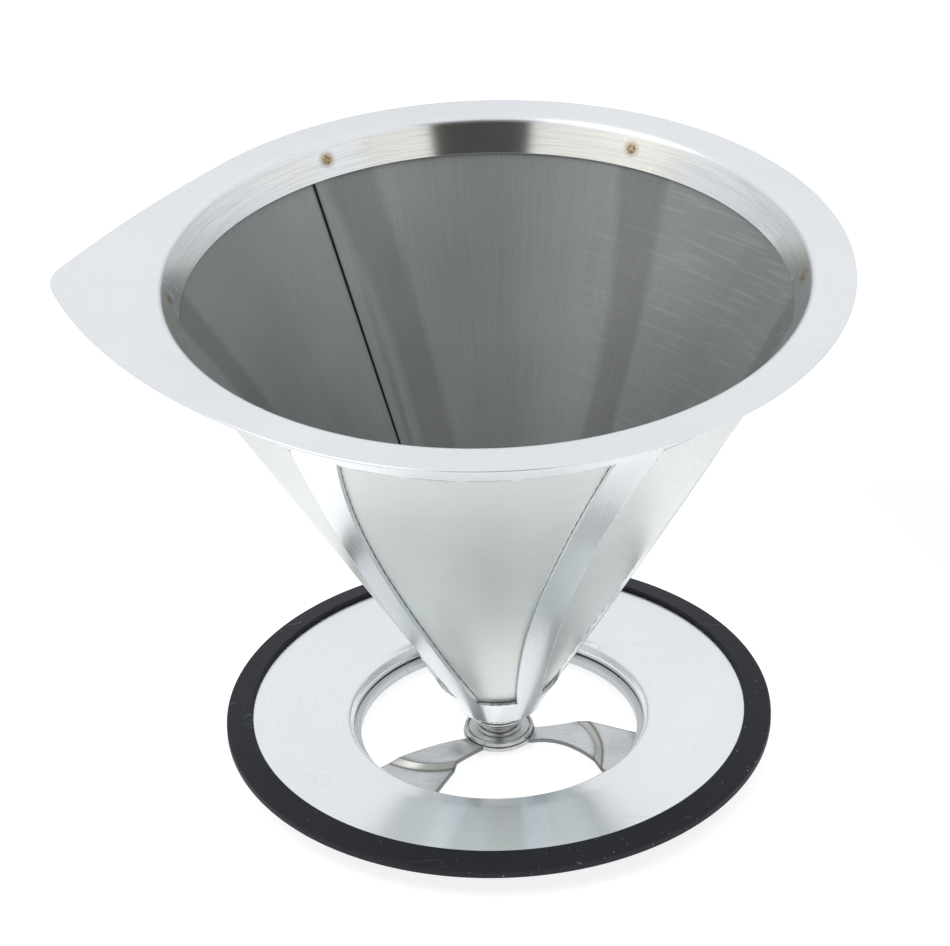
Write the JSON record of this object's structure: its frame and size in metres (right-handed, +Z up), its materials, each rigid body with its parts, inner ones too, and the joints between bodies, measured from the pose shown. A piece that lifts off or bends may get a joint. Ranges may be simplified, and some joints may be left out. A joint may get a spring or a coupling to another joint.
{
  "type": "pour over coffee dripper",
  "caption": "Steel pour over coffee dripper: a double mesh cone in a slotted shell under a teardrop rim, screwed onto a ring stand with stepped arms and a silicone edge.",
  "frame": {"origin": "on the cone's axis, in the plane that the hub and the arm tabs stand on", "axes": "+Z up along the cone's axis; the thumb tab points to -X, and +X runs along the longest extent"},
  "size_m": [0.137, 0.125, 0.096],
  "materials": {
    "brushed_steel": "brushed",
    "mesh_inner": "fine woven mesh",
    "mesh_outer": "fine woven mesh",
    "polished_steel": "polished",
    "weld": "heat-tinted",
    "silicone": "matte"
  },
  "bodies": {
    "stand": {"base_ring": "brushed_steel", "lower_ring": "brushed_steel", "silicone_ring": "silicone", "spider": "brushed_steel", "arm_weld_1": "weld", "arm_weld_2": "weld", "arm_weld_3": "weld", "hub_bush": "polished_steel"},
    "washer": {"hub_washer": "brushed_steel"},
    "cone": {"rim_flange": "brushed_steel", "inner_mesh": "mesh_inner", "outer_mesh": "mesh_outer", "cone_frame": "brushed_steel", "collar_weld_1": "weld", "collar_weld_2": "weld", "collar_weld_3": "weld", "collar_weld_4": "weld", "collar_weld_5": "weld", "collar_weld_6": "weld", "tip_cup": "brushed_steel", "neck_ferrule": "polished_steel", "center_screw": "polished_steel"}
  },
  "joints": [
    {"name": "cone_lift", "type": "slide", "parent": "stand", "child": "washer", "axis": [0, 0, 1], "range_m": [0, 0.0019]},
    {"name": "cone_twist", "type": "hinge", "parent": "washer", "child": "cone", "pos_m": [0, 0, 0.0027], "axis": [0, 0, 1], "range_deg": [0, 900]}
  ],
  "couplings": [
    {"joint": "cone_lift", "follows": "cone_twist", "m_per_rad": 0.00011937}
  ]
}
